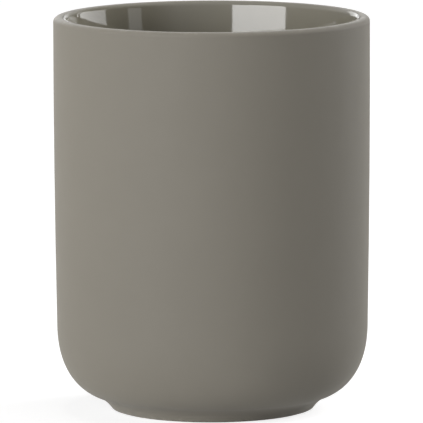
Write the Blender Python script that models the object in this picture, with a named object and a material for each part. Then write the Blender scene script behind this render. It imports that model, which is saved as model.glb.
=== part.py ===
"""A toothbrush cup: a cast ceramic body under a soft matte coat, glazed inside and under its foot.

The cup stands on the origin with +Z up, and each piece is turned from an outline of (radius, height)
points. One finished outline runs up the outside, over the lip and down to the middle of the inner
floor, and another closes the hollow under the foot. The coat and the glazes lie just under these
outlines, and the body lies under all of them.
"""

import math

import bmesh
import bpy

# The finished outside, in metres
CUP_HEIGHT = 0.1037
RIM_RADIUS = 0.0415
WALL_TAPER = 0.0006  # how much smaller the wall's radius is at the corner than at the rim
WALL_BOW = 0.0002  # how far the wall swells outwards, halfway up
CORNER_DEPTH = 0.0160  # how far the rounded corner reaches inwards from the wall
CORNER_HEIGHT = 0.0204  # how far it reaches upwards from the belly
CORNER_FULLNESS = 2.32  # exponent of the corner's superellipse, where 2 is an ellipse

# The foot that lifts the belly off the table
FOOT_HEIGHT = 0.0029
FOOT_INSET = 0.0120  # from the wall at the corner in to the foot's top
FOOT_LEAN = 0.0026  # how far the foot's side leans in on its way down
FOOT_RING_WIDTH = 0.0040
BARE_FOOT_HEIGHT = 0.0003  # coat and glaze stop this far above the table
BASE_EDGE_BREAK = 0.0003  # the ground edges of the bare standing ring
RECESS_DEPTH = 0.0018
RECESS_DRAFT = 0.0006  # how much smaller the recess's radius is at its roof
RECESS_FILLET = 0.0008

# The lip, and the wall and floor that thicken below it
LIP_OUTER_REACH = 0.0015
LIP_OUTER_DROP = 0.0013
LIP_LAND = 0.0002
LIP_INNER_RADIUS = 0.0015
FLARE = 0.00165  # how much thicker the wall gets on its way down from the lip
FLARE_DEPTH = 0.0170  # over how long a stretch it does so
FLOOR_THICKNESS = 0.0045  # from the belly's underside up to the inner floor

# The skins on the body
COAT_THICKNESS = 0.0003
GLAZE_THICKNESS = 0.0003
SKIN_GAP = 0.0003  # between a skin and the body, and between coat and glaze on the lip
COAT_EDGE_ANGLE = math.radians(54)  # where the coat stops on the lip's inner rounding

# How finely the outlines are divided
SEGMENTS = 60
LIP_STEPS = 4
LIP_EDGE_STEPS = 2
FLARE_STEPS = 3
WALL_STEPS = 3
CORNER_STEPS = 8
FILLET_STEPS = 3
SHARP_ANGLE = math.radians(40)
SAME_POINT = 0.000001

# What follows from the sizes above
FLARE_ANGLE = math.atan(2 * FLARE / FLARE_DEPTH)  # how far the flare leans out where it meets the lip
FLARE_TOP = CUP_HEIGHT - LIP_INNER_RADIUS * (1 - math.sin(FLARE_ANGLE))
LIP_THICKNESS = LIP_OUTER_REACH + LIP_LAND + LIP_INNER_RADIUS * math.cos(FLARE_ANGLE)
WALL_THICKNESS = LIP_THICKNESS + FLARE
WALL_TOP = CUP_HEIGHT - LIP_OUTER_DROP
CORNER_RADIUS = RIM_RADIUS - WALL_TAPER - CORNER_DEPTH
CORNER_TOP = FOOT_HEIGHT + CORNER_HEIGHT
FOOT_TOP_RADIUS = RIM_RADIUS - WALL_TAPER - FOOT_INSET
FOOT_BASE_RADIUS = FOOT_TOP_RADIUS - FOOT_LEAN
FLOOR_HEIGHT = FOOT_HEIGHT + FLOOR_THICKNESS
RECESS_RADIUS = FOOT_BASE_RADIUS - FOOT_RING_WIDTH

# Finishes
COAT_COLOR = (0.258, 0.239, 0.201)
COAT_ROUGHNESS = 0.72
GLAZE_COLOR = (0.219, 0.204, 0.160)
GLAZE_ROUGHNESS = 0.06
CLAY_COLOR = (0.520, 0.470, 0.400)
CLAY_ROUGHNESS = 0.88


def evenly(start, end, steps):
    """Values from start to end, both included."""
    return [start + (end - start) * step / steps for step in range(steps + 1)]


def at_height(start, end, height):
    """The point at this height on the line through two points."""
    share = (height - start[1]) / (end[1] - start[1])
    return (start[0] + (end[0] - start[0]) * share, height)


def left_of(start, end):
    """Unit vector to the left of the way from start to end."""
    run = end[0] - start[0]
    rise = end[1] - start[1]
    length = math.hypot(run, rise)
    return (-rise / length, run / length)


def parallel(outline, depth):
    """The outline moved to its left, which is into the cup's wall, with its corners mitred."""
    sides = [left_of(start, end) for start, end in zip(outline, outline[1:])]
    moved = []
    for point, before, after in zip(outline, sides[:1] + sides, sides + sides[-1:]):
        mitre = depth / (1 + before[0] * after[0] + before[1] * after[1])
        radius = point[0] + (before[0] + after[0]) * mitre
        height = point[1] + (before[1] + after[1]) * mitre
        moved.append((radius, height))
    return moved


def ellipse_arc(centre, reach, rise, angles):
    """Points of an ellipse at angles measured up from its reach."""
    return [(centre[0] + reach * math.cos(a), centre[1] + rise * math.sin(a)) for a in angles]


def corner_arc(reach, drop, angles):
    """Points of the superelliptic corner at angles measured down from the wall."""
    power = 2 / CORNER_FULLNESS
    points = []
    for angle in angles:
        radius = CORNER_RADIUS + reach * abs(math.cos(angle)) ** power
        height = CORNER_TOP - drop * abs(math.sin(angle)) ** power
        points.append((radius, height))
    return points


def wall_radius(height):
    """The outside of the bowed and tapered wall."""
    share = (WALL_TOP - height) / (WALL_TOP - CORNER_TOP)
    return RIM_RADIUS - WALL_TAPER * share + 4 * WALL_BOW * share * (1 - share)


def outer_wall():
    """From the corner up to the lip."""
    return [(wall_radius(height), height) for height in evenly(CORNER_TOP, WALL_TOP, WALL_STEPS)]


def inner_wall():
    """From the lip down the flare, whose line is a parabola, and on to the corner."""
    points = []
    for share in evenly(0, 1, FLARE_STEPS):
        height = FLARE_TOP - FLARE_DEPTH * share
        points.append((wall_radius(height) - WALL_THICKNESS + FLARE * (1 - share) ** 2, height))
    for height in evenly(FLARE_TOP - FLARE_DEPTH, CORNER_TOP, WALL_STEPS)[1:]:
        points.append((wall_radius(height) - WALL_THICKNESS, height))
    return points


def lip_outer_arc():
    """The lip's outer rounding, from the wall up to the land."""
    centre = (RIM_RADIUS - LIP_OUTER_REACH, WALL_TOP)
    angles = evenly(0, math.pi / 2, LIP_STEPS)
    return ellipse_arc(centre, LIP_OUTER_REACH, LIP_OUTER_DROP, angles)


def lip_inner_arc(start, end):
    """Part of the lip's inner rounding, with its angles measured up from level."""
    centre = (RIM_RADIUS - LIP_OUTER_REACH - LIP_LAND, CUP_HEIGHT - LIP_INNER_RADIUS)
    angles = evenly(start, end, LIP_EDGE_STEPS)
    return ellipse_arc(centre, -LIP_INNER_RADIUS, LIP_INNER_RADIUS, angles)


def belly_outline():
    """The foot's side and the rounded corner, from the coat's lower edge up to the wall."""
    reach = max(FOOT_TOP_RADIUS - CORNER_RADIUS, 0)
    foot_angle = math.acos((reach / CORNER_DEPTH) ** (CORNER_FULLNESS / 2))
    corner = corner_arc(CORNER_DEPTH, CORNER_HEIGHT, evenly(foot_angle, 0, CORNER_STEPS))
    if FOOT_TOP_RADIUS < CORNER_RADIUS:
        corner.insert(0, (FOOT_TOP_RADIUS, FOOT_HEIGHT))
    coat_edge = at_height((FOOT_BASE_RADIUS, 0), corner[0], BARE_FOOT_HEIGHT)
    return [coat_edge] + corner


def coated_outline():
    """The finished outside, from the foot up and over the lip to the coat's inner edge."""
    lip_edge = lip_inner_arc(math.pi / 2, COAT_EDGE_ANGLE)
    return belly_outline() + outer_wall()[1:] + lip_outer_arc()[1:] + lip_edge


def glazed_outline():
    """The finished inside, from the glaze's edge on the lip to the middle of the floor."""
    lip = lip_inner_arc(COAT_EDGE_ANGLE - SKIN_GAP / LIP_INNER_RADIUS, FLARE_ANGLE)
    reach = CORNER_DEPTH - WALL_THICKNESS
    corner = corner_arc(reach, CORNER_TOP - FLOOR_HEIGHT, evenly(0, math.pi / 2, CORNER_STEPS))
    return lip + inner_wall()[1:] + corner[1:] + [(0, FLOOR_HEIGHT)]


def recess_outline():
    """The finished hollow under the foot, from the middle of its roof out to the glaze's edge."""
    roof_radius = RECESS_RADIUS - RECESS_DRAFT
    centre = (roof_radius - RECESS_FILLET, RECESS_DEPTH - RECESS_FILLET)
    angles = evenly(math.pi / 2, 0, FILLET_STEPS)
    fillet = ellipse_arc(centre, RECESS_FILLET, RECESS_FILLET, angles)
    glaze_edge = at_height((RECESS_RADIUS, 0), fillet[-1], BARE_FOOT_HEIGHT)
    return [(0, RECESS_DEPTH)] + fillet + [glaze_edge]


def standing_ring(inner_side, outer_side):
    """The bare ring that touches the table, between two sides of the body that run down to it."""
    inner = at_height(*inner_side, BASE_EDGE_BREAK)
    outer = at_height(*outer_side, BASE_EDGE_BREAK)
    flat = [(inner[0] + BASE_EDGE_BREAK, 0), (outer[0] - BASE_EDGE_BREAK, 0)]
    return [inner] + flat + [outer]


def body_outline():
    """The ceramic under all the skins, from the middle of the recess round to the inner floor."""
    recess = parallel(recess_outline(), GLAZE_THICKNESS + SKIN_GAP)
    outside = parallel(coated_outline(), COAT_THICKNESS + SKIN_GAP)
    inside = parallel(glazed_outline(), GLAZE_THICKNESS + SKIN_GAP)
    ring = standing_ring(recess[-2:], outside[:2])
    return recess[:-1] + ring + outside[1:] + inside


def skin_outline(finished, thickness):
    """A skin of this thickness under a finished outline."""
    under = parallel(finished, thickness)
    under.reverse()
    return finished + under


def turned_piece(name, outline, material, parent):
    """A solid turned from an outline. One that starts off the axis closes on itself, as a ring."""
    bm = bmesh.new()
    points = [bm.verts.new((radius, 0, height)) for radius, height in outline]
    edges = [bm.edges.new(ends) for ends in zip(points, points[1:])]
    if outline[0][0] > 0:
        edges.append(bm.edges.new((points[-1], points[0])))
    bmesh.ops.spin(
        bm,
        geom=points + edges,
        cent=(0, 0, 0),
        axis=(0, 0, 1),
        angle=math.tau,
        steps=SEGMENTS,
        use_merge=True,
    )
    bmesh.ops.remove_doubles(bm, verts=bm.verts, dist=SAME_POINT)
    bmesh.ops.recalc_face_normals(bm, faces=bm.faces)
    mesh = bpy.data.meshes.new(name)
    bm.to_mesh(mesh)
    bm.free()
    mesh.shade_smooth()
    mesh.set_sharp_from_angle(angle=SHARP_ANGLE)
    mesh.materials.append(material)
    piece = bpy.data.objects.new(name, mesh)
    piece.parent = parent
    bpy.context.scene.collection.objects.link(piece)


def principled(name, color, roughness):
    """A plain, non-metallic material."""
    material = bpy.data.materials.new(name)
    material.use_nodes = True
    shader = material.node_tree.nodes["Principled BSDF"]
    shader.inputs["Base Color"].default_value = (*color, 1)
    shader.inputs["Roughness"].default_value = roughness
    shader.inputs["Metallic"].default_value = 0
    return material


def ceramic_body(cup):
    """The cast and fired body, which shows only on the ring that it stands on."""
    clay = principled("bare_ceramic", CLAY_COLOR, CLAY_ROUGHNESS)
    turned_piece("ceramic_body", body_outline(), clay, cup)


def soft_touch_coat(cup):
    """The matte skin outside, from just above the table to just inside the lip."""
    coat = principled("matte_coat", COAT_COLOR, COAT_ROUGHNESS)
    turned_piece("soft_touch_coat", skin_outline(coated_outline(), COAT_THICKNESS), coat, cup)


def glazes(cup):
    """The glossy linings of the inside and of the hollow under the foot."""
    glaze = principled("gloss_glaze", GLAZE_COLOR, GLAZE_ROUGHNESS)
    inside = skin_outline(glazed_outline(), GLAZE_THICKNESS)
    underside = skin_outline(recess_outline(), GLAZE_THICKNESS)
    turned_piece("inside_glaze", inside, glaze, cup)
    turned_piece("underside_glaze", underside, glaze, cup)


def clear_scene():
    for item in list(bpy.data.objects):
        bpy.data.objects.remove(item)


def main():
    clear_scene()
    cup = bpy.data.objects.new("toothbrush_cup", None)
    bpy.context.scene.collection.objects.link(cup)
    ceramic_body(cup)
    soft_touch_coat(cup)
    glazes(cup)


main()
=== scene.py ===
"""Looks of a toothbrush cup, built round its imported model.

A soft matte coat outside, a glossy glaze inside and under the foot, and the bare clay ring that the
cup stands on. Each piece is drawn as one outline of (radius, height) points and spun round the
cup's axis, as on a wheel. Lengths are in metres, and the cup stands on the origin with +Z up.
"""

import math
import bpy
from bpy.props import FloatProperty, FloatVectorProperty, IntProperty, PointerProperty
from mathutils import Matrix, Vector


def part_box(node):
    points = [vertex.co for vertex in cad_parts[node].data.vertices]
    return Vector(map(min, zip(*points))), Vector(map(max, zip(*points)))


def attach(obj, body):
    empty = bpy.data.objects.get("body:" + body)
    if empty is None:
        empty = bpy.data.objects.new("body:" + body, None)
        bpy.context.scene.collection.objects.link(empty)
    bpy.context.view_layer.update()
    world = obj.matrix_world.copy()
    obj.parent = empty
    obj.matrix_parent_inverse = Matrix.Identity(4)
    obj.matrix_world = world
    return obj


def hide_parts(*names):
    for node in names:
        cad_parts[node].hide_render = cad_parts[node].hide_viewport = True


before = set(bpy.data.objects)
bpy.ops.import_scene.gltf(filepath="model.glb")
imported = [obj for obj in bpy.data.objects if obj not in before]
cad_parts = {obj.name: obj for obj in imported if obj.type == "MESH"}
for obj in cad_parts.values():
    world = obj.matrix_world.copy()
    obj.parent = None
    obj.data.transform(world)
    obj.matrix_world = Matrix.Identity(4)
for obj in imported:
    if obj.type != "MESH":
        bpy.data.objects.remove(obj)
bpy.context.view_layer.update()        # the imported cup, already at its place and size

bl_info = {
    "name": "Toothbrush Cup",
    "version": (1, 0, 0),
    "blender": (4, 5, 0),
    "location": "3D View > Sidebar > Cup",
    "description": "Builds a matte cup with a glazed inside, and a plain studio round it",
    "category": "Object",
}

BODY = "root"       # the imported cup's only body
SKIN_THICKNESS = 0.0003
COAT_LOW, COAT_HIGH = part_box("soft_touch_coat")
FLOOR_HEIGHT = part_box("inside_glaze")[0].z + SKIN_THICKNESS
RECESS_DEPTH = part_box("underside_glaze")[1].z - SKIN_THICKNESS

# Each lamp's left, right, low and high edge in degrees, as seen from the middle of the cup's mouth.
# Sideways they count from the camera's side, to the right.
LAMP_EDGES = {
    "key_softbox": (-64, -17.2, -3, 28),
    "key_wash": (-74, -50, 20, 50),
    "fill_card": (60, 72.7, -3, 15),
    "side_softbox": (96.8, 132, -3, 20),
    "side_trim": (136, 137.6, -3, 20),
    "side_wash": (100, 134, 5, 45),
    "back_card": (-170, -148, -3, 20),
}
LAMP_DISTANCE = 1.2
TOP_LAMP_SIZE = 0.4
MATTE_ONLY = {"key_wash", "side_wash", "top_lamp"}      # lamps that don't show in glossy surfaces
GLOSS_ONLY = {"fill_card"}      # lamps that show in them and don't light the matte ones

# How finely the outlines are divided
LIP_STEPS = 14
LIP_EDGE_STEPS = 10
FLARE_STEPS = 14
WALL_STEPS = 4
CORNER_STEPS = 48
FILLET_STEPS = 10
BEVEL_STEPS = 2

SEED_SIZE = 0.0001      # of the small plane that is merged to an outline's first point
SAME_POINT = 0.000001       # points that are nearer to each other become one
SHARP_EDGE = math.radians(35)       # an edge that turns by more is rounded off, or shaded as an edge

# Patterns of the finishes. Sizes, patches, spacings, reaches and depths are lengths. A spot's radius
# is a share of the spacing, and a swing is in roughness.
COAT_MOTTLE = {"change": 0.030, "size": 0.014}
GLAZE_MOTTLE = {"change": 0.045, "size": 0.010}
CLAY_MOTTLE = {"change": 0.10, "size": 0.0045}
COAT_DRIFT = {"size": 0.006, "swing": 0.05}
GLAZE_DRIFT = {"size": 0.012, "swing": 0.015}
CLAY_DRIFT = {"size": 0.002, "swing": 0.08}
COAT_POWDER = {"size": 0.0022, "depth": 0.000012}
COAT_DUST = {"size": 0.00022, "depth": 0.000010}
FIRING_WAVE = {"size": 0.016, "depth": 0.000040}
ORANGE_PEEL = {"size": 0.0014, "depth": 0.0000012}
CLAY_SAND = {"size": 0.0009, "depth": 0.00005}
CLAY_GRIT = {"size": 0.00025, "depth": 0.00003}
RUBBED_LIP = {"reach": 0.0008, "patch": 0.0022, "strength": 0.5}
RUBBED_FOOT = {"reach": 0.0012, "patch": 0.0016, "strength": 0.7}
SOILED_RING = {"reach": 0.0004, "patch": 0.0025, "strength": 0.5}
PINHOLES = {"spacing": 0.0042, "radius": 0.045, "kept": 0.35}
SPECKS = {"spacing": 0.0016, "radius": 0.16, "kept": 0.3}
PINHOLE_DEPTH = 0.00006
RUBBED_SHINE = 0.15     # how much less rough a rubbed spot is

# The spots' colours, and how much of them shows: their own, but painted shade in the pinholes
PINHOLE_SHADE = 0.4
SPECK_TINT = 0.6
RUBBED_TINT = 0.35
# painted shade inside the glaze's pinholes
PINHOLE_SHADE_COLOR = (0.10, 0.09, 0.07)
SPECK_COLOR = (0.14, 0.09, 0.06)
SOILED_COLOR = (0.30, 0.27, 0.23)

# What stays the same all over a piece, set on its shader
COAT_OPTICS = {"IOR": 1.45, "Sheen Roughness": 0.4, "Diffuse Roughness": 0.6}
GLAZE_OPTICS = {"IOR": 1.6}
CLAY_OPTICS = {"IOR": 1.5, "Diffuse Roughness": 0.8}

# How the noise of each shared effect is layered
GRAIN_NOISE = {"Detail": 3, "Roughness": 0.55}
MOTTLE_NOISE = {"Detail": 4, "Roughness": 0.6}
WEAR_NOISE = {"Detail": 5}
NOISE_MIDDLE = 0.5
WEAR_CONTRAST = 6

# Where each part of the room starts and where it is full, as one coordinate of the direction to it
SWEEP_SPAN = (0.87, 0.97)
CEILING_SPAN = (0.5, 0.9)
WALLS_SPAN = (0.85, 0.4)
WALLS_RISE = (0.05, 0.45)

FLOOR_RADIUS = 4.0
FLOOR_SIDES = 96
FLOOR_GLOW = 0.78       # for the camera and in glossy surfaces
WHITE = (1, 1, 1, 1)
FLOOR_FINISH = {
    "Base Color": (0.46, 0.46, 0.46, 1),
    "Roughness": 0.9,
    "Specular IOR Level": 0,
    "Emission Color": WHITE,
}
FULL_LEVEL = 1.0

# A mix node's sockets for colours go by number, because it has other sockets of the same names.
MIX_SHARE, MIX_FROM, MIX_TO, MIX_RESULT = 0, 6, 7, 2


def length(name, description, default):
    """A length in metres that shows down to a hundredth of a millimetre."""
    return FloatProperty(
        name=name, description=description, default=default, unit="LENGTH", precision=5
    )


def angle(name, description, degrees):
    default = math.radians(degrees)
    return FloatProperty(name=name, description=description, default=default, subtype="ANGLE")


def amount(name, description, default):
    return FloatProperty(name=name, description=description, default=default, min=0, precision=3)


def color(name, description, default):
    return FloatVectorProperty(
        name=name, description=description, default=default, subtype="COLOR", size=3, min=0, max=1
    )


class CupShape(bpy.types.PropertyGroup):
    """Sizes of the finished cup"""

    segments: IntProperty(name="Segments", description="Faces round the cup", default=240, min=24)
    height: length("Height", "From the table to the lip", COAT_HIGH.z)
    rim_radius: length("Rim radius", "Outside radius at the rim", COAT_HIGH.x)
    wall_taper: length("Wall taper", "How much smaller the wall's radius is at the corner", 0.0006)
    wall_bow: length("Wall bow", "How far the wall swells out halfway up", 0.0002)
    corner_depth: length("Corner depth", "How far the rounded corner reaches in from the wall", 0.0160)
    corner_height: length("Corner height", "How far the corner reaches up from the belly", 0.0204)
    corner_fullness: amount("Corner fullness", "Exponent of the corner, where 2 is an ellipse", 2.32)
    foot_height: length("Foot height", "How far the foot lifts the belly", 0.0029)
    foot_inset: length("Foot inset", "From the wall in to the foot's top", 0.0120)
    foot_lean: length("Foot lean", "How far the foot's side leans in on its way down", 0.0026)
    foot_hollow: length("Foot hollow", "Reach of the rounding between belly and foot", 0.0027)
    ring_width: length("Ring width", "Width of the foot ring", 0.0040)
    bare_height: length("Bare height", "How far above the table the skins stop", COAT_LOW.z)
    edge_break: length("Edge break", "The ground edges of the standing ring", 0.0003)
    recess_depth: length("Recess depth", "Depth of the hollow under the foot", RECESS_DEPTH)
    recess_draft: length("Recess draft", "How much smaller the hollow is at its roof", 0.0006)
    recess_fillet: length("Recess fillet", "Rounding between the hollow's roof and side", 0.0008)
    lip_outer_reach: length("Outer lip reach", "Width of the lip's outer rounding", 0.0015)
    lip_outer_drop: length("Outer lip drop", "Height of the lip's outer rounding", 0.0013)
    lip_land: length("Lip land", "Level width on top of the lip", 0.0002)
    lip_inner_radius: length("Inner lip radius", "Radius of the lip's inner rounding", 0.0015)
    flare: length("Flare", "How much thicker the wall gets below the lip", 0.00165)
    flare_depth: length("Flare depth", "Over how long a stretch it does so", 0.0170)
    floor_height: length("Floor height", "Height of the inner floor", FLOOR_HEIGHT)
    coat_edge_angle: angle("Coat edge", "Where the coat stops on the lip's inner rounding", 54)
    skin_thickness: length("Skin thickness", "Thickness of the coat and of the glazes", SKIN_THICKNESS)
    skin_gap: length("Skin gap", "Between a skin and the clay", 0.0003)
    skin_seam: length("Skin seam", "Hairline between the coat and the glaze on the lip", 0.00002)
    edge_rounding: length("Edge rounding", "Rounding of the edges of clay, coat and glazes", 0.00008)

    @property
    def wall_top(self):
        return self.height - self.lip_outer_drop

    @property
    def corner_top(self):
        return self.foot_height + self.corner_height

    @property
    def corner_radius(self):
        return self.rim_radius - self.wall_taper - self.corner_depth

    @property
    def foot_top_radius(self):
        return self.rim_radius - self.wall_taper - self.foot_inset

    @property
    def foot_base_radius(self):
        return self.foot_top_radius - self.foot_lean

    @property
    def recess_radius(self):
        return self.foot_base_radius - self.ring_width

    @property
    def flare_angle(self):
        return math.atan(2 * self.flare / self.flare_depth)

    @property
    def flare_top(self):
        return self.height - self.lip_inner_radius * (1 - math.sin(self.flare_angle))

    @property
    def wall_thickness(self):
        inner = self.lip_inner_radius * math.cos(self.flare_angle)
        return self.lip_outer_reach + self.lip_land + inner + self.flare

    def wall_radius(self, height):
        """The outside of the bowed and tapered wall."""
        down = (self.wall_top - height) / (self.wall_top - self.corner_top)
        return self.rim_radius - self.wall_taper * down + 4 * self.wall_bow * down * (1 - down)


class CupFinish(bpy.types.PropertyGroup):
    """Colours and finishes of the cup"""

    coat_color: color("Coat", "The soft matte coat", (0.258, 0.239, 0.201))
    coat_roughness: amount("Coat roughness", "Roughness of the matte coat", 0.72)
    coat_sheen: amount("Coat sheen", "Soft shine of the coat at a grazing angle", 0.05)
    lip_roughness: amount("Lip roughness", "Roughness of the thin coat on top of the lip", 0.40)
    lip_reach: length("Lip reach", "How far down the lip the coat is smoother", 0.0013)
    glaze_color: color("Glaze", "The glaze inside and under the foot", (0.219, 0.204, 0.160))
    glaze_roughness: amount("Glaze roughness", "Roughness of the glaze", 0.06)
    clay_color: color("Clay", "The bare fired clay", (0.520, 0.470, 0.400))
    clay_roughness: amount("Clay roughness", "Roughness of the bare clay", 0.88)


class CupStudio(bpy.types.PropertyGroup):
    """The camera, lamps and floor"""

    camera_distance: length("Camera distance", "From the camera to the cup", 2.0)
    camera_elevation: angle("Camera elevation", "How far the camera looks down", 7.494)
    camera_roll: angle("Camera roll", "Turn of the camera about its own axis", -0.176)
    aim_height: length("Aim height", "The height that the camera looks at", 0.05206)
    aim_side: length("Aim side", "How far beside the axis it looks", -0.00016)
    lens: FloatProperty(name="Lens", description="Focal length in mm", default=647.5, unit="CAMERA")
    key_softbox: amount("Key softbox", "Brightness of the wide softbox at the left", 6.4)
    key_wash: amount("Key wash", "Soft light above its left end", 0.5)
    fill_card: amount("Fill card", "Brightness of the narrow card at the right", 1.0)
    side_softbox: amount("Side softbox", "Brightness of the softbox at the right, behind", 2.7)
    side_trim: amount("Side trim", "Brightness of the thin strip beside it", 3.0)
    side_wash: amount("Side wash", "Soft light on the cup's right edge", 7.3)
    back_card: amount("Back card", "Brightness of the card at the left, behind", 1.2)
    top_lamp: amount("Top lamp", "Soft light from above, on lip and floor", 6.0)
    sweep: amount("Sweep", "Light of the white sweep behind the cup on matte surfaces", 0.25)
    ceiling: amount("Ceiling", "Brightness of the ceiling in glossy surfaces", 1.2)
    walls_low: amount("Walls low", "Brightness of the room's walls low down in glossy surfaces", 0.26)
    walls_high: amount("Walls high", "Brightness of the room's walls high up in glossy surfaces", 0.9)
    room: amount("Room", "Brightness of the room round the cup", 0.016)


# Outlines

def evenly(start, end, steps):
    """Values from start to end, both included."""
    return [start + (end - start) * step / steps for step in range(steps + 1)]


def at_height(start, end, height):
    """The point at this height on the line through two points."""
    part = (height - start[1]) / (end[1] - start[1])
    return (start[0] + (end[0] - start[0]) * part, height)


def toward(start, end, distance):
    """The point at this distance from start on the way to end."""
    part = distance / math.dist(start, end)
    return tuple(a + (b - a) * part for a, b in zip(start, end))


def left_of(start, end):
    """Unit vector to the left of the way from start to end."""
    distance = math.dist(start, end)
    return ((start[1] - end[1]) / distance, (end[0] - start[0]) / distance)


def parallel(outline, depth):
    """The outline moved to its left, which is into the cup's wall, with its corners mitred."""
    sides = [left_of(start, end) for start, end in zip(outline, outline[1:])]
    moved = []
    for point, before, after in zip(outline, sides[:1] + sides, sides + sides[-1:]):
        mitre = depth / (1 + before[0] * after[0] + before[1] * after[1])
        moved.append(tuple(p + (b + a) * mitre for p, b, a in zip(point, before, after)))
    return moved


def arc(centre, reach, rise, angles):
    """Points of an ellipse at angles measured up from its reach."""
    return [(centre[0] + reach * math.cos(a), centre[1] + rise * math.sin(a)) for a in angles]


def hollow(start, corner, end):
    """A round transition from start to end that a corner point pulls towards itself."""
    points = []
    for t in evenly(0, 1, FILLET_STEPS):
        shares = ((1 - t) ** 2, 2 * t * (1 - t), t ** 2)
        axes = zip(start, corner, end)
        points.append(tuple(sum(s * v for s, v in zip(shares, axis)) for axis in axes))
    return points


def corner_arc(shape, reach, drop, angles):
    """Points of the superelliptic corner at angles measured down from the wall."""
    power = 2 / shape.corner_fullness
    points = []
    for a in angles:
        radius = shape.corner_radius + reach * abs(math.cos(a)) ** power
        points.append((radius, shape.corner_top - drop * abs(math.sin(a)) ** power))
    return points


def belly_outline(shape):
    """From the coat's lower edge up the foot's side, round the hollow above it and up the corner."""
    reach = shape.foot_top_radius - shape.corner_radius
    foot_angle = math.acos((reach / shape.corner_depth) ** (shape.corner_fullness / 2))
    angles = evenly(foot_angle, 0, CORNER_STEPS)
    corner = corner_arc(shape, shape.corner_depth, shape.corner_height, angles)
    foot_top = corner[0]
    foot_base = (shape.foot_base_radius, 0)
    belly = [point for point in corner if math.dist(point, foot_top) > shape.foot_hollow]
    coat_edge = at_height(foot_base, foot_top, shape.bare_height)
    hollow_start = toward(foot_top, foot_base, shape.foot_hollow)
    return [coat_edge] + hollow(hollow_start, foot_top, belly[0]) + belly[1:]


def coated_outline(shape):
    """The finished outside, from the foot up and over the lip to the coat's inner edge."""
    heights = evenly(shape.corner_top, shape.wall_top, WALL_STEPS)
    wall = [(shape.wall_radius(height), height) for height in heights]
    centre = (shape.rim_radius - shape.lip_outer_reach, shape.wall_top)
    lip = arc(centre, shape.lip_outer_reach, shape.lip_outer_drop, evenly(0, math.pi / 2, LIP_STEPS))
    edge = lip_inner_arc(shape, math.pi / 2, shape.coat_edge_angle)
    return belly_outline(shape) + wall[1:] + lip[1:] + edge


def lip_inner_arc(shape, start, end):
    """Part of the lip's inner rounding, with its angles measured up from level."""
    radius = shape.lip_inner_radius
    centre = (shape.rim_radius - shape.lip_outer_reach - shape.lip_land, shape.height - radius)
    return arc(centre, -radius, radius, evenly(start, end, LIP_EDGE_STEPS))


def lined_outline(shape):
    """The finished inside, from the glaze's edge on the lip to the middle of the floor."""
    seam = shape.skin_seam / shape.lip_inner_radius
    points = lip_inner_arc(shape, shape.coat_edge_angle - seam, shape.flare_angle)
    for down in evenly(0, 1, FLARE_STEPS)[1:]:
        height = shape.flare_top - shape.flare_depth * down
        thinning = shape.flare * (1 - down) ** 2
        points.append((shape.wall_radius(height) - shape.wall_thickness + thinning, height))
    for height in evenly(shape.flare_top - shape.flare_depth, shape.corner_top, WALL_STEPS)[1:]:
        points.append((shape.wall_radius(height) - shape.wall_thickness, height))
    reach = shape.corner_depth - shape.wall_thickness
    drop = shape.corner_top - shape.floor_height
    corner = corner_arc(shape, reach, drop, evenly(0, math.pi / 2, CORNER_STEPS))
    return points + corner[1:] + [(0, shape.floor_height)]


def recess_outline(shape):
    """The finished hollow under the foot, from the middle of its roof out to the glaze's edge."""
    radius = shape.recess_fillet
    roof_radius = shape.recess_radius - shape.recess_draft
    centre = (roof_radius - radius, shape.recess_depth - radius)
    fillet = arc(centre, radius, radius, evenly(math.pi / 2, 0, FILLET_STEPS))
    glaze_edge = at_height((shape.recess_radius, 0), fillet[-1], shape.bare_height)
    return [(0, shape.recess_depth)] + fillet + [glaze_edge]


def clay_outline(shape):
    """The clay under all the skins, from the middle of the recess round to the inner floor."""
    depth = shape.skin_thickness + shape.skin_gap
    recess = parallel(recess_outline(shape), depth)
    outside = parallel(coated_outline(shape), depth)
    inside = parallel(lined_outline(shape), depth)
    inner = at_height(*recess[-2:], shape.edge_break)
    outer = at_height(*outside[:2], shape.edge_break)
    ring = [inner, (inner[0] + shape.edge_break, 0), (outer[0] - shape.edge_break, 0), outer]
    return recess[:-1] + ring + outside[1:] + inside


# Modelling

def spun(name, outline, segments):
    """An outline drawn point by point in the XZ plane, then spun round the cup's axis."""
    bpy.ops.object.select_all(action="DESELECT")
    start = Vector((outline[0][0], 0, outline[0][1]))
    bpy.ops.mesh.primitive_plane_add(size=SEED_SIZE, location=start)
    piece = bpy.context.object
    piece.name = name
    piece.data.name = name
    bpy.ops.object.transform_apply(location=True, rotation=True, scale=True)
    bpy.ops.object.mode_set(mode="EDIT")
    bpy.ops.mesh.select_all(action="SELECT")
    bpy.ops.mesh.merge(type="CENTER")
    for point, following in zip(outline, outline[1:]):
        step = (following[0] - point[0], 0, following[1] - point[1])
        bpy.ops.mesh.extrude_vertices_move(TRANSFORM_OT_translate={"value": step})
    bpy.ops.mesh.select_all(action="SELECT")
    bpy.ops.mesh.spin(steps=segments, angle=math.tau, center=(0, 0, 0), axis=(0, 0, 1))
    bpy.ops.mesh.select_all(action="SELECT")
    bpy.ops.mesh.remove_doubles(threshold=SAME_POINT)
    bpy.ops.mesh.normals_make_consistent(inside=False)
    bpy.ops.object.mode_set(mode="OBJECT")
    return piece


def thicken(piece, thickness, side):
    """Gives a spun sheet its thickness, on the side that its faces look to (1) or behind it (-1)."""
    skin = piece.modifiers.new("Skin", "SOLIDIFY")
    skin.thickness = thickness
    skin.offset = side
    skin.use_even_offset = True
    bpy.ops.object.modifier_apply(modifier=skin.name)


def round_edges(piece, width):
    bevel = piece.modifiers.new("Rounded edges", "BEVEL")
    bevel.width = width
    bevel.segments = BEVEL_STEPS
    bevel.limit_method = "ANGLE"
    bevel.angle_limit = SHARP_EDGE
    bpy.ops.object.modifier_apply(modifier=bevel.name)


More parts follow.
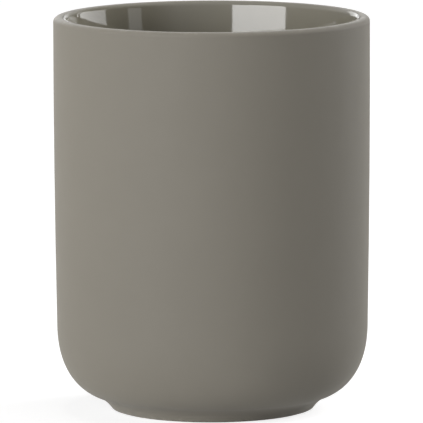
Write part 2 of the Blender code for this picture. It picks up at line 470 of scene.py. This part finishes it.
def finish_piece(piece, node, material):
    """Smooths a piece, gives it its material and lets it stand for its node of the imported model."""
    bpy.ops.object.shade_smooth_by_angle(angle=SHARP_EDGE)
    piece.data.materials.clear()
    piece.data.materials.append(material)
    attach(piece, BODY)
    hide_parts(node)


# Shading

def node(tree, kind, inputs, **settings):
    """A new shader node. Each input is a plain value, or another node's output to link."""
    made = tree.nodes.new(kind)
    for name, value in settings.items():
        setattr(made, name, value)
    for socket, value in inputs.items():
        if isinstance(value, bpy.types.NodeSocket):
            tree.links.new(value, made.inputs[socket])
        else:
            made.inputs[socket].default_value = value
    return made


def maths(tree, operation, *values, clamp=False):
    made = node(tree, "ShaderNodeMath", dict(enumerate(values)), operation=operation, use_clamp=clamp)
    return made.outputs[0]


def new_group(name, inputs, outputs):
    """An empty node group with number sockets, and colour sockets where the name says Color."""
    tree = bpy.data.node_groups.new(name, "ShaderNodeTree")
    for labels, side in ((inputs, "INPUT"), (outputs, "OUTPUT")):
        for label in labels:
            kind = "NodeSocketColor" if label == "Color" else "NodeSocketFloat"
            tree.interface.new_socket(label, in_out=side, socket_type=kind)
    return tree, tree.nodes.new("NodeGroupInput").outputs, tree.nodes.new("NodeGroupOutput").inputs


def scaled_place(tree, size):
    """The place on the piece, counted in steps of this size."""
    place = node(tree, "ShaderNodeTexCoord", {}).outputs["Object"]
    inputs = {0: place, "Scale": maths(tree, "DIVIDE", 1, size)}
    return node(tree, "ShaderNodeVectorMath", inputs, operation="SCALE").outputs[0]


def noise(tree, size, layering):
    """Unevenness from 0 to 1, in patches of about this size."""
    inputs = {"Vector": scaled_place(tree, size), "Scale": 1, **layering}
    return node(tree, "ShaderNodeTexNoise", inputs).outputs["Fac"]


def grain_group():
    """Fine or coarse unevenness, from 0 to 1."""
    tree, given, result = new_group("Grain", ["Size"], ["Height"])
    tree.links.new(noise(tree, given["Size"], GRAIN_NOISE), result["Height"])
    return tree


def mottle_group():
    """A colour that gets a little lighter and darker from patch to patch."""
    tree, given, result = new_group("Mottle", ["Color", "Amount", "Size"], ["Color"])
    patches = noise(tree, given["Size"], MOTTLE_NOISE)
    swing = maths(tree, "MULTIPLY", maths(tree, "SUBTRACT", patches, NOISE_MIDDLE), 2)
    level = maths(tree, "MULTIPLY_ADD", swing, given["Amount"], FULL_LEVEL)
    tinted = node(tree, "ShaderNodeVectorMath", {0: given["Color"], "Scale": level}, operation="SCALE")
    tree.links.new(tinted.outputs[0], result["Color"])
    return tree


def pits_group():
    """Scattered round spots: 1 in the middle of a spot and 0 outside.

    Radius is a share of the spacing, and Share is how many of the places have a spot.
    """
    tree, given, result = new_group("Pits", ["Spacing", "Radius", "Share"], ["Mask"])
    place = scaled_place(tree, given["Spacing"])
    cells = node(tree, "ShaderNodeTexVoronoi", {"Vector": place, "Scale": 1})
    outwards = maths(tree, "DIVIDE", cells.outputs["Distance"], given["Radius"])
    spots = maths(tree, "MAXIMUM", maths(tree, "SUBTRACT", 1, outwards), 0)
    lot = node(tree, "ShaderNodeSeparateColor", {0: cells.outputs["Color"]}).outputs[0]
    kept = maths(tree, "LESS_THAN", lot, given["Share"])
    tree.links.new(maths(tree, "MULTIPLY", spots, kept), result["Mask"])
    return tree


def height_band(tree, height, reach):
    """1 at this height of the cup, and down to 0 this far above and below it."""
    place = node(tree, "ShaderNodeTexCoord", {}).outputs["Object"]
    level = node(tree, "ShaderNodeSeparateXYZ", {0: place}).outputs["Z"]
    away = maths(tree, "ABSOLUTE", maths(tree, "SUBTRACT", level, height))
    return maths(tree, "SUBTRACT", 1, maths(tree, "DIVIDE", away, reach), clamp=True)


def wear_group():
    """Rubbed patches near one height of the cup, such as its lip or its foot."""
    tree, given, result = new_group("Edge wear", ["Height", "Reach", "Patch", "Amount"], ["Mask"])
    near = height_band(tree, given["Height"], given["Reach"])
    uneven = noise(tree, given["Patch"], WEAR_NOISE)
    lowest = -WEAR_CONTRAST * NOISE_MIDDLE
    patches = maths(tree, "MULTIPLY_ADD", uneven, WEAR_CONTRAST, lowest, clamp=True)
    mask = maths(tree, "MULTIPLY", maths(tree, "MULTIPLY", near, patches), given["Amount"])
    tree.links.new(mask, result["Mask"])
    return tree


def effect(tree, name, make, inputs):
    """Places a shared effect, which is built the first time that it is used."""
    group = bpy.data.node_groups.get(name) or make()
    placed = tree.nodes.new("ShaderNodeGroup")
    placed.node_tree = group
    for socket, value in inputs.items():
        placed.inputs[socket].default_value = value
    return placed.outputs[0]


def grain(tree, size):
    return effect(tree, "Grain", grain_group, {"Size": size})


def mottle(tree, tint, change, size):
    return effect(tree, "Mottle", mottle_group, {"Color": (*tint, 1), "Amount": change, "Size": size})


def pits(tree, spacing, radius, kept):
    return effect(tree, "Pits", pits_group, {"Spacing": spacing, "Radius": radius, "Share": kept})


def wear(tree, height, reach, patch, strength):
    values = {"Height": height, "Reach": reach, "Patch": patch, "Amount": strength}
    return effect(tree, "Edge wear", wear_group, values)


def drifting(tree, value, size, swing):
    """A value that goes up and down by this swing from patch to patch."""
    height = maths(tree, "SUBTRACT", grain(tree, size), NOISE_MIDDLE)
    return maths(tree, "MULTIPLY_ADD", height, 2 * swing, value)


def turned(tree, tint, mask, other):
    """This tint, and the other one where the mask is 1."""
    inputs = {MIX_SHARE: mask, MIX_FROM: tint, MIX_TO: (*other, 1)}
    return node(tree, "ShaderNodeMix", inputs, data_type="RGBA").outputs[MIX_RESULT]


def relief(tree, height, depth, below=None):
    """The normal of a surface with this relief, depth metres from its lowest to its highest."""
    inputs = {"Height": height, "Distance": depth, "Strength": FULL_LEVEL}
    if below is not None:
        inputs["Normal"] = below
    return node(tree, "ShaderNodeBump", inputs).outputs["Normal"]


def grainy(tree, size, depth, below=None):
    """The normal of a surface with a grain of this size and depth."""
    return relief(tree, grain(tree, size), depth, below)


def blank_material(name):
    """A new material with only its principled shader and its output."""
    material = bpy.data.materials.new(name)
    material.use_nodes = True
    return material, material.node_tree, material.node_tree.nodes["Principled BSDF"]


def settle(shader, constants):
    """Sets sockets of a shader to plain values."""
    for socket, value in constants.items():
        shader.inputs[socket].default_value = value


def shade(tree, shader, tint, roughness, normal, constants):
    """Links what changes over the surface, and sets the rest on the shader."""
    for socket, source in (("Base Color", tint), ("Roughness", roughness), ("Normal", normal)):
        tree.links.new(source, shader.inputs[socket])
    settle(shader, constants)


def coat_material(shape, finish):
    """Soft-touch lacquer: a fine powdery grain, hardly any gloss, and rubbed spots on lip and foot."""
    material, tree, shader = blank_material("soft_matte_coat")
    rubbed_lip = wear(tree, shape.height, **RUBBED_LIP)
    rubbed_foot = wear(tree, shape.bare_height, **RUBBED_FOOT)
    rubbed = maths(tree, "MAXIMUM", rubbed_lip, rubbed_foot)
    tint = mottle(tree, finish.coat_color, **COAT_MOTTLE)
    tint = turned(tree, tint, maths(tree, "MULTIPLY", rubbed, RUBBED_TINT), finish.clay_color)
    roughness = drifting(tree, finish.coat_roughness, **COAT_DRIFT)
    roughness = maths(tree, "MULTIPLY_ADD", rubbed, -RUBBED_SHINE, roughness)
    lip = height_band(tree, shape.height, finish.lip_reach)
    lip_change = finish.lip_roughness - finish.coat_roughness
    roughness = maths(tree, "MULTIPLY_ADD", lip, lip_change, roughness)
    normal = grainy(tree, **COAT_POWDER)
    normal = grainy(tree, **COAT_DUST, below=normal)
    shade(tree, shader, tint, roughness, normal, {**COAT_OPTICS, "Sheen Weight": finish.coat_sheen})
    return material


def glaze_material(finish):
    """Glossy glaze: a slow wave from firing, a faint orange peel, and a few pinholes with painted
    shade.
    """
    material, tree, shader = blank_material("gloss_glaze")
    pinholes = pits(tree, **PINHOLES)
    tint = mottle(tree, finish.glaze_color, **GLAZE_MOTTLE)
    # painted shade darkens the glaze inside each pinhole
    tint = turned(tree, tint, maths(tree, "MULTIPLY", pinholes, PINHOLE_SHADE), PINHOLE_SHADE_COLOR)
    roughness = drifting(tree, finish.glaze_roughness, **GLAZE_DRIFT)
    normal = grainy(tree, **FIRING_WAVE)
    normal = grainy(tree, **ORANGE_PEEL, below=normal)
    normal = relief(tree, maths(tree, "MULTIPLY", pinholes, -1), PINHOLE_DEPTH, normal)
    shade(tree, shader, tint, roughness, normal, GLAZE_OPTICS)
    return material


def clay_material(finish):
    """Bare fired clay: sandy, specked with iron, and soiled where it stands."""
    material, tree, shader = blank_material("bare_clay")
    specks = pits(tree, **SPECKS)
    tint = mottle(tree, finish.clay_color, **CLAY_MOTTLE)
    tint = turned(tree, tint, maths(tree, "MULTIPLY", specks, SPECK_TINT), SPECK_COLOR)
    tint = turned(tree, tint, wear(tree, 0, **SOILED_RING), SOILED_COLOR)
    roughness = drifting(tree, finish.clay_roughness, **CLAY_DRIFT)
    normal = grainy(tree, **CLAY_SAND)
    normal = grainy(tree, **CLAY_GRIT, below=normal)
    shade(tree, shader, tint, roughness, normal, CLAY_OPTICS)
    return material


# Studio

def ray_share(tree, *kinds):
    """1 for rays of any of these kinds, else 0."""
    rays = node(tree, "ShaderNodeLightPath", {}).outputs
    total = rays[kinds[0]]
    for kind in kinds[1:]:
        total = maths(tree, "MAXIMUM", total, rays[kind])
    return total


def between(tree, low, high, part):
    """low where part is 0 and high where it is 1."""
    return maths(tree, "ADD", low, maths(tree, "MULTIPLY", part, maths(tree, "SUBTRACT", high, low)))


def fade(tree, value, span):
    """0 where the value is at the span's start, and smoothly up to 1 where it is at its end."""
    inputs = {"Value": value, "From Min": span[0], "From Max": span[1]}
    return node(tree, "ShaderNodeMapRange", inputs, interpolation_type="SMOOTHSTEP").outputs[0]


def lit_world(studio):
    """A white sweep behind the cup, in a dim room whose walls and ceiling glow in glossy surfaces.

    The camera sees white on every side.
    """
    world = bpy.data.worlds.new("studio")
    world.use_nodes = True
    bpy.context.scene.world = world
    tree = world.node_tree
    direction = node(tree, "ShaderNodeTexCoord", {}).outputs["Generated"]
    axes = node(tree, "ShaderNodeSeparateXYZ", {0: direction}).outputs
    behind = fade(tree, axes["Y"], SWEEP_SPAN)
    overhead = fade(tree, axes["Z"], CEILING_SPAN)
    aside = fade(tree, axes["X"], WALLS_SPAN)
    rise = fade(tree, axes["Z"], WALLS_RISE)
    mirrored = ray_share(tree, "Is Glossy Ray", "Is Transmission Ray")
    sweep = between(tree, studio.sweep, FULL_LEVEL, mirrored)
    walls = maths(tree, "MULTIPLY", aside, between(tree, studio.walls_low, studio.walls_high, rise))
    glow = maths(tree, "MAXIMUM", maths(tree, "MULTIPLY", overhead, studio.ceiling), walls)
    room = maths(tree, "MULTIPLY_ADD", mirrored, glow, studio.room)
    level = between(tree, room, sweep, behind)
    seen = between(tree, level, FULL_LEVEL, ray_share(tree, "Is Camera Ray"))
    background = tree.nodes["Background"]
    tree.links.new(seen, background.inputs["Strength"])
    settle(background, {"Color": WHITE})


def lamp(name, place, turn, across, tall, brightness):
    """A soft rectangular lamp with this brightness all over its face."""
    bpy.ops.object.light_add(type="AREA", location=place, rotation=turn)
    light = bpy.context.object
    light.name = name
    light.visible_camera = False
    light.visible_glossy = name not in MATTE_ONLY
    light.visible_diffuse = name not in GLOSS_ONLY
    light.data.shape = "RECTANGLE"
    light.data.size = across
    light.data.size_y = tall
    light.data.energy = brightness * math.pi * across * tall


def softbox(name, edges, level, brightness):
    """An upright lamp between these edges, as seen from this level on the cup's axis."""
    left, right, low, high = [math.radians(edge) for edge in edges]
    across = 2 * LAMP_DISTANCE * math.tan((right - left) / 2)
    bottom = level + LAMP_DISTANCE * math.tan(low)
    tall = level + LAMP_DISTANCE * math.tan(high) - bottom
    azimuth = (left + right) / 2
    place = (LAMP_DISTANCE * math.sin(azimuth), -LAMP_DISTANCE * math.cos(azimuth), bottom + tall / 2)
    lamp(name, place, (math.pi / 2, 0, azimuth), across, tall, brightness)


def lit_floor():
    """A pale round floor. The camera sees it white, with the cup's shadow on it."""
    bpy.ops.mesh.primitive_circle_add(
        vertices=FLOOR_SIDES, radius=FLOOR_RADIUS, fill_type="NGON", location=(0, 0, 0)
    )
    floor = bpy.context.object
    floor.name = "studio_floor"
    material, tree, shader = blank_material("pale_floor")
    settle(shader, FLOOR_FINISH)
    seen = ray_share(tree, "Is Camera Ray", "Is Glossy Ray", "Is Transmission Ray")
    glow = maths(tree, "MULTIPLY", seen, FLOOR_GLOW)
    tree.links.new(glow, shader.inputs["Emission Strength"])
    floor.data.materials.append(material)


def placed_camera(studio):
    level = Vector((0, 0, studio.aim_height))
    aim = level + Vector((studio.aim_side, 0, 0))
    back = Vector((0, -math.cos(studio.camera_elevation), math.sin(studio.camera_elevation)))
    place = level + back * studio.camera_distance
    bpy.ops.object.camera_add(location=place)
    camera = bpy.context.object
    looking = (aim - place).to_track_quat("-Z", "Y").to_matrix()
    camera.rotation_euler = (looking @ Matrix.Rotation(studio.camera_roll, 3, "Z")).to_euler()
    camera.data.lens = studio.lens
    bpy.context.scene.camera = camera


# Operators and panel

class CUP_OT_clay_body(bpy.types.Operator):
    """Spin the bare clay body"""

    bl_idname = "cup.clay_body"
    bl_label = "Clay body"

    def execute(self, context):
        shape = context.scene.cup_shape
        piece = spun("clay_body", clay_outline(shape), shape.segments)
        round_edges(piece, shape.edge_rounding)
        material = clay_material(context.scene.cup_finish)
        finish_piece(piece, "ceramic_body", material)
        return {"FINISHED"}


class CUP_OT_matte_coat(bpy.types.Operator):
    """Spin the soft matte coat, from the foot over the lip"""

    bl_idname = "cup.matte_coat"
    bl_label = "Matte coat"

    def execute(self, context):
        shape = context.scene.cup_shape
        piece = spun("matte_coat", coated_outline(shape), shape.segments)
        thicken(piece, shape.skin_thickness, -1)
        round_edges(piece, shape.edge_rounding)
        material = coat_material(shape, context.scene.cup_finish)
        finish_piece(piece, "soft_touch_coat", material)
        return {"FINISHED"}


class CUP_OT_glazes(bpy.types.Operator):
    """Spin the glaze inside the cup and the glaze under its foot"""

    bl_idname = "cup.glazes"
    bl_label = "Glazes"

    def execute(self, context):
        shape = context.scene.cup_shape
        glaze = glaze_material(context.scene.cup_finish)
        for name, outline, replaced in (
            ("inner_glaze", lined_outline(shape), "inside_glaze"),
            ("foot_glaze", recess_outline(shape), "underside_glaze"),
        ):
            piece = spun(name, outline, shape.segments)
            thicken(piece, shape.skin_thickness, 1)
            round_edges(piece, shape.edge_rounding)
            finish_piece(piece, replaced, glaze)
        return {"FINISHED"}


class CUP_OT_studio(bpy.types.Operator):
    """Add the floor, the lamps, the white surroundings and the camera"""

    bl_idname = "cup.studio"
    bl_label = "Studio"

    def execute(self, context):
        shape = context.scene.cup_shape
        studio = context.scene.cup_studio
        lit_world(studio)
        lit_floor()
        for name, edges in LAMP_EDGES.items():
            softbox(name, edges, shape.height, getattr(studio, name))
        above = (0, 0, shape.height + LAMP_DISTANCE)
        lamp("top_lamp", above, (0, 0, 0), TOP_LAMP_SIZE, TOP_LAMP_SIZE, studio.top_lamp)
        placed_camera(studio)
        context.scene.view_settings.view_transform = "Standard"
        return {"FINISHED"}


class CUP_PT_panel(bpy.types.Panel):
    """Steps and settings of the cup"""

    bl_label = "Toothbrush Cup"
    bl_idname = "CUP_PT_panel"
    bl_space_type = "VIEW_3D"
    bl_region_type = "UI"
    bl_category = "Cup"

    def draw(self, context):
        for step in STEPS:
            self.layout.operator(step)
        for group in (context.scene.cup_shape, context.scene.cup_finish, context.scene.cup_studio):
            box = self.layout.box()
            for name in group.__annotations__:
                box.prop(group, name)


STEPS = ("cup.clay_body", "cup.matte_coat", "cup.glazes", "cup.studio")
CLASSES = (
    CupShape,
    CupFinish,
    CupStudio,
    CUP_OT_clay_body,
    CUP_OT_matte_coat,
    CUP_OT_glazes,
    CUP_OT_studio,
    CUP_PT_panel,
)


def register():
    for item in CLASSES:
        bpy.utils.register_class(item)
    bpy.types.Scene.cup_shape = PointerProperty(type=CupShape)
    bpy.types.Scene.cup_finish = PointerProperty(type=CupFinish)
    bpy.types.Scene.cup_studio = PointerProperty(type=CupStudio)


def unregister():
    del bpy.types.Scene.cup_shape
    del bpy.types.Scene.cup_finish
    del bpy.types.Scene.cup_studio
    for item in reversed(CLASSES):
        bpy.utils.unregister_class(item)


def main():
    register()
    bpy.ops.cup.clay_body()
    bpy.ops.cup.matte_coat()
    bpy.ops.cup.glazes()
    bpy.ops.cup.studio()


if __name__ == "__main__":
    main()
